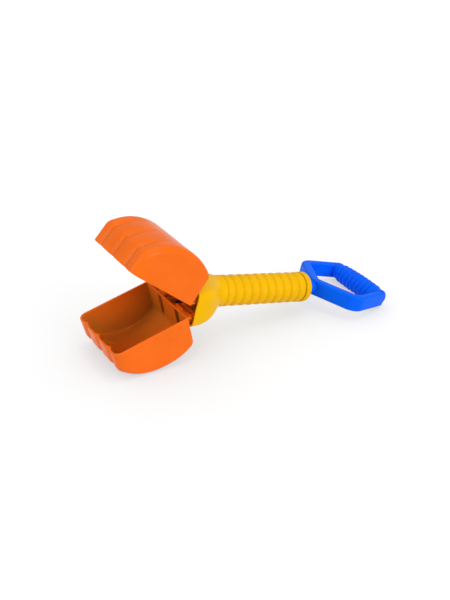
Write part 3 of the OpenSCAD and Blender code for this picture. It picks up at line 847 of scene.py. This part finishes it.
def handle_mesh():
    """D-handle: rounded frame, grip and neck in one moulding, with the screw's recess in its base."""
    corners, _ = frame_corners()
    recess_end = corners[APEX_IN][0] + HANDLE_RECESS_OVER
    neck_r, start = NECK_D / 2, ARM_L + SIDE_GAP
    neck = lathe("neck", [(0, start), (neck_r - NECK_EDGE, start), (neck_r, start + NECK_EDGE),
                          (neck_r, APEX_X + FRAME_T / 2), (0, APEX_X + FRAME_T / 2)], "x")
    recess = lathe("recess", [(0, HANDLE_SCREW_SEAT), (SCREW_RECESS / 2, HANDLE_SCREW_SEAT),
                              (SCREW_RECESS / 2, recess_end), (0, recess_end)], "x", sides=DISC_SIDES)
    return combined(combined(frame_mesh(), [grip_mesh(), neck], "UNION"), [recess], "DIFFERENCE")


def screw_mesh(tip, seat):
    """Self-tapping screw along x, with a domed head and a cross recess, from its tip to its head's seat."""
    r, head_r = SCREW_D / 2, SCREW_HEAD_D / 2
    root = ROOT_SHARE * r
    profile = [(0, tip), (POINT_SHARE * r, tip)]
    for x in np.arange(tip + FIRST_THREAD, seat - LAST_THREAD, THREAD_PITCH):
        profile += [(root, x), (r, x + THREAD_RISE), (r, x + THREAD_CREST), (root, x + THREAD_FALL)]
    profile += [(r, seat - SHANK_L), (r, seat), (head_r, seat)]
    top = seat + SCREW_HEAD_H
    for a in np.linspace(0, 90, DOME_POINTS):
        across, up = polar(a)
        profile.append((head_r * across * DOME_SHARE + DOME_TIP_R, top - DOME_H + DOME_H * up))
    profile[-1] = (0, top)
    solid = lathe("screw", profile, "x", sides=DISC_SIDES)
    cross = []
    for wide, high in ((CROSS_L, CROSS_W), (CROSS_W, CROSS_L)):
        outline = [(-wide, -high), (wide, -high), (wide, high), (-wide, high)]
        cross.append(prism("cross", outline, top - CROSS_DEPTH, top + CUT_OVER, "x"))
    return combined(solid, cross, "DIFFERENCE")


def shell_screw_meshes():
    """The four screws across the arm, with their heads on the far side."""
    along_y = Matrix.Rotation(math.radians(90), 4, "Z")
    made = []
    for x, z in SCREW_PLACES:
        screw = screw_mesh(-SCREW_TIP, SCREW_SEAT)
        screw.transform(Matrix.Translation((x, 0, z)) @ along_y)
        made.append(screw)
    return made


# Materials

# Part of a noise's range that is spread over what it drives
NOISE_LOW = 0.3
NOISE_HIGH = 0.7
OPENNESS_SAMPLES = 16
# Plastic: cloudy colour, uneven gloss and moulded grain
CLOUD_SCALE = 38
CLOUD_DETAIL = 4
GLOSS_SCALE = 260
GLOSS_SPREAD = 0.05
GRAIN_SCALE = 2600
GRAIN_DETAIL = 2
GRAIN_STRENGTH = 0.04
GRAIN_HEIGHT = 0.0003
# Steel: colours, roughness and marks
STEEL_COLOURS = ((0.42, 0.43, 0.45), (0.6, 0.61, 0.62))
STEEL_COLOUR_SCALE = 900
STEEL_ROUGHNESS = (0.25, 0.42)
STEEL_ROUGHNESS_SCALE = 3000
MARK_SCALE = 5200
MARK_STRENGTH = 0.06
MARK_HEIGHT = 0.0002


class Nodes:
    """Short way to add and link shader nodes of one material."""

    def __init__(self, name):
        self.material = bpy.data.materials.new(name)
        self.material.use_nodes = True
        self.tree = self.material.node_tree
        self.shader = self.tree.nodes["Principled BSDF"]
        self.places = self.add("ShaderNodeTexCoord").outputs["Object"]

    def add(self, kind, **values):
        node = self.tree.nodes.new(kind)
        for key, value in values.items():
            setattr(node, key, value)
        return node

    def link(self, source, target):
        self.tree.links.new(source, target)

    def noise(self, scale, detail=3.0):
        node = self.add("ShaderNodeTexNoise")
        node.inputs["Scale"].default_value = scale
        node.inputs["Detail"].default_value = detail
        self.link(self.places, node.inputs["Vector"])
        return node.outputs["Fac"]

    def ramp(self, source, low, high):
        node = self.add("ShaderNodeValToRGB")
        node.color_ramp.elements[0].position = NOISE_LOW
        node.color_ramp.elements[0].color = (*low, 1)
        node.color_ramp.elements[1].position = NOISE_HIGH
        node.color_ramp.elements[1].color = (*high, 1)
        self.link(source, node.inputs["Fac"])
        return node.outputs["Color"]

    def spread(self, source, low, high, start=NOISE_LOW, end=NOISE_HIGH):
        node = self.add("ShaderNodeMapRange")
        node.inputs["From Min"].default_value = start
        node.inputs["From Max"].default_value = end
        node.inputs["To Min"].default_value = low
        node.inputs["To Max"].default_value = high
        self.link(source, node.inputs["Value"])
        return node.outputs["Result"]

    def mixed(self, share, low, high):
        """Colour between two others, each given as a socket or as a colour."""
        node = self.add("ShaderNodeMix", data_type="RGBA")
        self.link(share, node.inputs["Factor"])
        for key, value in (("A", low), ("B", high)):
            socket = [i for i in node.inputs if i.name == key and i.type == "RGBA"][0]
            if isinstance(value, tuple):
                socket.default_value = (*value, 1)
            else:
                self.link(value, socket)
        return [o for o in node.outputs if o.type == "RGBA"][0]

    def openness(self, distance, alone=True):
        """How open a place is, which drives painted shade: 1 on an outside, less in hollows, creases and,
        unless alone, beside others.
        """
        node = self.add("ShaderNodeAmbientOcclusion", only_local=alone, samples=OPENNESS_SAMPLES)
        node.inputs["Distance"].default_value = distance
        return node.outputs["AO"]

    def bump(self, source, strength, distance):
        node = self.add("ShaderNodeBump")
        node.inputs["Strength"].default_value = strength
        node.inputs["Distance"].default_value = distance
        self.link(source, node.inputs["Height"])
        self.link(node.outputs["Normal"], self.shader.inputs["Normal"])


def linear(r, g, b):
    """Linear colour from an 8-bit screen colour."""
    parts = (c / 255 for c in (r, g, b))
    return tuple(c / 12.92 if c <= 0.04045 else ((c + 0.055) / 1.055) ** 2.4 for c in parts)


def plastic(name, deep, light, roughness, gloss, hollow, reach):
    """Injection-moulded plastic: cloudy colour, painted shade in hollows and creases, uneven gloss and a fine
    moulded grain.
    """
    n = Nodes(name)
    colour = n.ramp(n.noise(CLOUD_SCALE, CLOUD_DETAIL), deep, light)
    # Painted shade: the hollow colour is mixed in where the surface is closed off, in bowls and creases
    n.link(n.mixed(n.openness(reach), hollow, colour), n.shader.inputs["Base Color"])
    uneven = n.spread(n.noise(GLOSS_SCALE), roughness - GLOSS_SPREAD, roughness + GLOSS_SPREAD)
    n.link(uneven, n.shader.inputs["Roughness"])
    n.bump(n.noise(GRAIN_SCALE, GRAIN_DETAIL), GRAIN_STRENGTH, GRAIN_HEIGHT)
    n.shader.inputs["Specular IOR Level"].default_value = gloss
    return n.material


def steel(name):
    """Zinc-plated steel with faint marks."""
    n = Nodes(name)
    n.link(n.ramp(n.noise(STEEL_COLOUR_SCALE), *STEEL_COLOURS), n.shader.inputs["Base Color"])
    n.link(n.spread(n.noise(STEEL_ROUGHNESS_SCALE), *STEEL_ROUGHNESS), n.shader.inputs["Roughness"])
    n.bump(n.noise(MARK_SCALE), MARK_STRENGTH, MARK_HEIGHT)
    n.shader.inputs["Metallic"].default_value = 1.0
    return n.material


# Reach of the painted shade in hollows, in metres: the scoops' bowls, and the grooves of ribs
BOWL_SHADE_REACH = 0.06
RIB_SHADE_REACH = 0.006
# Each hollow colour is painted shade, the darker colour put into shaded bowls, creases and grooves
ORANGE = plastic("orange_plastic", linear(246, 108, 14), linear(252, 114, 20), roughness=0.3, gloss=0.12,
                 hollow=linear(142, 128, 46), reach=BOWL_SHADE_REACH)
YELLOW = plastic("yellow_plastic", linear(242, 184, 0), linear(248, 190, 0), roughness=0.34, gloss=0.06,
                 hollow=linear(150, 104, 0), reach=RIB_SHADE_REACH)
BLUE = plastic("blue_plastic", linear(0, 98, 252), linear(0, 104, 255), roughness=0.36, gloss=0.06,
               hollow=linear(0, 56, 180), reach=RIB_SHADE_REACH)
BLACK = plastic("black_nylon", linear(40, 40, 42), linear(48, 48, 50), roughness=0.5, gloss=0.1,
                hollow=linear(24, 24, 25), reach=RIB_SHADE_REACH)
STEEL = steel("plated_steel")


def dress_cad(node, material):
    """Material for a CAD node that stays as it is."""
    obj = frame["nodes"][node]
    obj.data.materials.clear()
    obj.data.materials.append(material)


# Pieces


def build_scoops():
    upper = opened(scoop_mesh())
    lower = mirrored(upper, TURNED_OVER)
    piece("upper_scoop_moulding", upper, "upper_jaw", ["upper_scoop"], ORANGE)
    piece("lower_scoop_moulding", lower, "lower_jaw", ["lower_scoop"], ORANGE)


def build_arm():
    shells, bosses, insides = [arm_shell()], screw_bosses(), arm_insides()
    near = joined("near", shells + bosses + insides)
    holes = [prism("recess", disc(p, SCREW_RECESS / 2), SCREW_SEAT, 2 * TUBE_R, "y") for p in SCREW_PLACES]
    recesses = joined("recesses", holes)
    cut = [combined(mirrored(m, ACROSS), [recesses], "DIFFERENCE") for m in shells + bosses]
    far = joined("far", cut + [mirrored(m, ACROSS) for m in insides])
    piece("arm_half_near", near, "arm", ["arm_shell_near"], YELLOW)
    piece("arm_half_far", far, "arm", ["arm_shell_far"], YELLOW)
    piece("tube_end_cap", end_cap_mesh(), "arm", ["end_cap"], YELLOW)
    screws = joined("screws", shell_screw_meshes())
    piece("arm_screws", screws, "arm", ["shell_screws"], STEEL)


def build_handle():
    piece("handle_moulding", handle_mesh(), "handle", ["d_handle"], BLUE)
    screw = screw_mesh(HANDLE_SCREW_TIP, HANDLE_SCREW_SEAT)
    piece("rod_screw", screw, "handle", ["handle_screw"], STEEL)


def dress_inner_parts():
    dress_cad("push_rod", BLUE)
    for node in ("drive_pin", "upper_hinge_pin", "lower_hinge_pin"):
        dress_cad(node, BLACK)


# Floor, light and camera

WHITE = (1, 1, 1, 1)
FLOOR_SIZE = 12.0
# The paper that lights the part from below
FLOOR_BOUNCE = 0.8
PAPER_SPREAD = 0.02
PAPER_SCALE = 1.5
PAPER_ROUGHNESS = 0.95
# What the camera sees of it: a dark base for the shadows, and a glow that is weaker within reach of the part,
# which paints a soft shadow round it
FLOOR_SHADE = 0.16
FLOOR_GLOW = 0.88
# Glow in the painted shadow, where the part closes the floor off, and how far that painted shadow reaches
FLOOR_GLOW_IN_SHADOW = 0.53
FLOOR_SHADOW_REACH = 0.3
WORLD_LIGHT = 0.58
# Name, place, strength and spread in degrees of each sun
SUNS = (("near_light", (0.22, -0.88, 0.45), 1.15, 35),
        ("left_light", (-0.85, 0.1, 0.5), 0.6, 30),
        ("top_light", (0.15, -0.1, 1.0), 0.45, 16))
CAMERA_AT = Vector((-0.59275, -0.7974, 0.58949))
CAMERA_AIM = Vector((-0.04796, -0.02535, 0.06043))
CAMERA_ROLL = 4.768
CAMERA_LENS = 52.996
CAMERA_SENSOR_W = 36


def grey(value):
    return (value,) * 3


def add_floor():
    half = FLOOR_SIZE / 2
    mesh = bpy.data.meshes.new("floor")
    corners = [(-half, -half, 0), (half, -half, 0), (half, half, 0), (-half, half, 0)]
    mesh.from_pydata(corners, [], [(0, 1, 2, 3)])
    obj = bpy.data.objects.new("floor", mesh)
    bpy.context.scene.collection.objects.link(obj)
    n = Nodes("floor_paper")
    rays = n.add("ShaderNodeLightPath").outputs
    paper = n.ramp(n.noise(PAPER_SCALE), grey(FLOOR_BOUNCE), grey(FLOOR_BOUNCE + PAPER_SPREAD))
    seen = rays["Is Camera Ray"]
    for other in ("Is Glossy Ray", "Is Transmission Ray"):
        either = n.add("ShaderNodeMath", operation="MAXIMUM")
        n.link(seen, either.inputs[0])
        n.link(rays[other], either.inputs[1])
        seen = either.outputs["Value"]
    n.link(n.mixed(seen, paper, grey(FLOOR_SHADE)), n.shader.inputs["Base Color"])
    glow = n.add("ShaderNodeMath", operation="MULTIPLY")
    # Painted shadow: the floor's glow drops where the part closes the floor off
    openness = n.openness(FLOOR_SHADOW_REACH, alone=False)
    n.link(n.spread(openness, FLOOR_GLOW_IN_SHADOW, FLOOR_GLOW, start=0, end=1), glow.inputs[1])
    n.link(seen, glow.inputs[0])
    n.link(glow.outputs["Value"], n.shader.inputs["Emission Strength"])
    n.shader.inputs["Emission Color"].default_value = WHITE
    n.shader.inputs["Roughness"].default_value = PAPER_ROUGHNESS
    n.shader.inputs["Specular IOR Level"].default_value = 0.0
    mesh.materials.append(n.material)


def aimed(obj, place, aim, roll=0.0):
    """Puts a camera or lamp at a place, looking at a point."""
    look = (aim - place).to_track_quat("-Z", "Y").to_matrix().to_4x4()
    obj.matrix_world = Matrix.Translation(place) @ look @ Matrix.Rotation(math.radians(roll), 4, "Z")
    bpy.context.scene.collection.objects.link(obj)


def add_sun(name, place, strength, spread):
    lamp = bpy.data.lights.new(name, "SUN")
    lamp.energy = strength
    lamp.angle = math.radians(spread)
    aimed(bpy.data.objects.new(name, lamp), Vector(place), Vector((0, 0, 0)))


def add_light():
    world = bpy.data.worlds.new("studio")
    bpy.context.scene.world = world
    world.use_nodes = True
    background = world.node_tree.nodes["Background"]
    background.inputs["Color"].default_value = WHITE
    background.inputs["Strength"].default_value = WORLD_LIGHT
    for sun in SUNS:
        add_sun(*sun)


def add_camera():
    camera = bpy.data.cameras.new("camera")
    camera.lens = CAMERA_LENS
    camera.sensor_width = CAMERA_SENSOR_W
    obj = bpy.data.objects.new("camera", camera)
    aimed(obj, CAMERA_AT, CAMERA_AIM, CAMERA_ROLL)
    bpy.context.scene.camera = obj


add_camera()
build_scoops()
build_arm()
build_handle()
dress_inner_parts()
add_floor()
add_light()
bpy.context.scene.view_settings.view_transform = "Standard"
